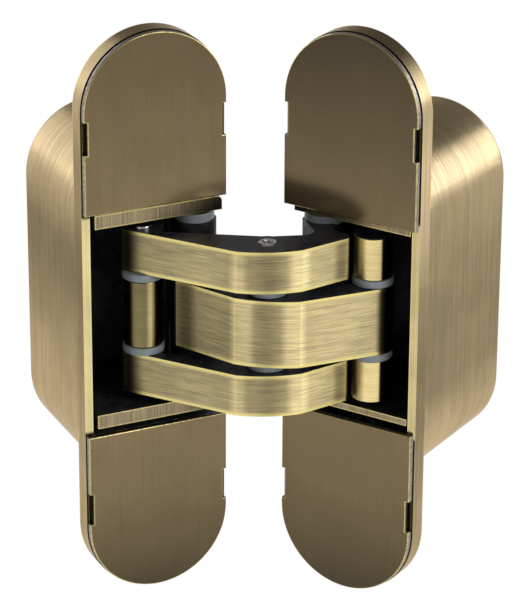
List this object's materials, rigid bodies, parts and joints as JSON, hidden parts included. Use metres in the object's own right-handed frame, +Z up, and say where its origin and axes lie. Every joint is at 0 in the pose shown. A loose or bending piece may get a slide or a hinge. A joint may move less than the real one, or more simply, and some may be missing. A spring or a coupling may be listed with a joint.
{
  "type": "concealed door hinge",
  "caption": "Concealed door hinge: slim round-ended plates with housings behind, joined by crossing arms and links on upright pins, shown open.",
  "frame": {"origin": "centre of the left plate's rear face, which lies on the leaf, on the middle line of its screw holes", "axes": "+X towards the left plate's inner edge, +Y into the left housing, +Z up along the pins"},
  "size_m": [0.0818, 0.0594, 0.111],
  "materials": {
    "cover_bronze": "brushed antique bronze plating, satin",
    "housing_bronze": "brushed antique bronze plating, satin",
    "carriage_bronze": "antique bronze plating, worn edges",
    "arm_brass": "brushed along the arm, dark streaks",
    "link_brass": "brushed brass colour",
    "steel": "ground steel",
    "washer_polymer": "pale grey polymer",
    "bush_dark": "dark bearing polymer",
    "pad_rubber": "black rubber"
  },
  "bodies": {
    "left_frame": {"left_housing": "housing_bronze", "left_cover_top": "cover_bronze", "left_cover_bottom": "cover_bronze", "left_clamp_screws": "steel"},
    "left_carriage": {"left_carriage": "carriage_bronze", "left_pivot_pin": "steel", "left_pivot_washers": "washer_polymer"},
    "middle_arm": {"middle_arm": "arm_brass", "left_pivot_bushes": "bush_dark", "centre_bush": "bush_dark", "right_joint_pin": "steel", "right_joint_washers": "washer_polymer"},
    "outer_arm": {"outer_arm": "arm_brass", "centre_pin": "steel", "centre_washers": "washer_polymer", "right_pivot_bushes": "bush_dark", "left_joint_pin": "steel", "left_joint_washers": "washer_polymer"},
    "left_link": {"left_link": "link_brass", "left_joint_bush": "bush_dark", "left_anchor_pin": "steel"},
    "right_link": {"right_link": "link_brass", "right_joint_bushes": "bush_dark", "right_anchor_pin": "steel"},
    "right_carriage": {"right_carriage": "carriage_bronze", "right_pivot_pin": "steel", "right_pivot_washers": "washer_polymer", "right_stop_pad": "pad_rubber"},
    "right_frame": {"right_housing": "housing_bronze", "right_cover_top": "cover_bronze", "right_cover_bottom": "cover_bronze", "right_clamp_screws": "steel"}
  },
  "joints": [
    {"name": "height_slide", "type": "slide", "parent": "left_frame", "child": "left_carriage", "axis": [0, 0, 1], "range_m": [-0.00135, 0.00005]},
    {"name": "main_fold", "type": "hinge", "parent": "left_carriage", "child": "middle_arm", "pos_m": [0.01007, 0.00068, 0.00066], "axis": [0, 0, 1], "range_deg": [-74.37, 35.67]},
    {"name": "crossing", "type": "hinge", "parent": "middle_arm", "child": "outer_arm", "pos_m": [0.01622, -0.01801, 0.00066], "axis": [0, 0, 1], "range_deg": [-10.54, 21.97]},
    {"name": "right_fold", "type": "hinge", "parent": "outer_arm", "child": "right_carriage", "pos_m": [0.03154, -0.01047, 0.00066], "axis": [0, 0, 1], "range_deg": [-69.25, 33.22]},
    {"name": "left_link_swing", "type": "hinge", "parent": "outer_arm", "child": "left_link", "pos_m": [-0.00128, -0.00121, 0.00066], "axis": [0, 0, 1], "range_deg": [-21.46, 10.3]},
    {"name": "right_link_swing", "type": "hinge", "parent": "middle_arm", "child": "right_link", "pos_m": [0.03592, -0.02183, 0.00066], "axis": [0, 0, 1], "range_deg": [-14.36, 29.92]},
    {"name": "side_slide", "type": "slide", "parent": "right_carriage", "child": "right_frame", "axis": [0.5247, -0.8513, 0], "range_m": [-0.00025, 0.0015]}
  ],
  "couplings": [
    {"joint": "crossing", "follows": "main_fold", "ratio": -0.29515},
    {"joint": "right_fold", "follows": "main_fold", "ratio": 0.93089},
    {"joint": "left_link_swing", "follows": "main_fold", "ratio": 0.28842},
    {"joint": "right_link_swing", "follows": "main_fold", "ratio": -0.40205}
  ]
}
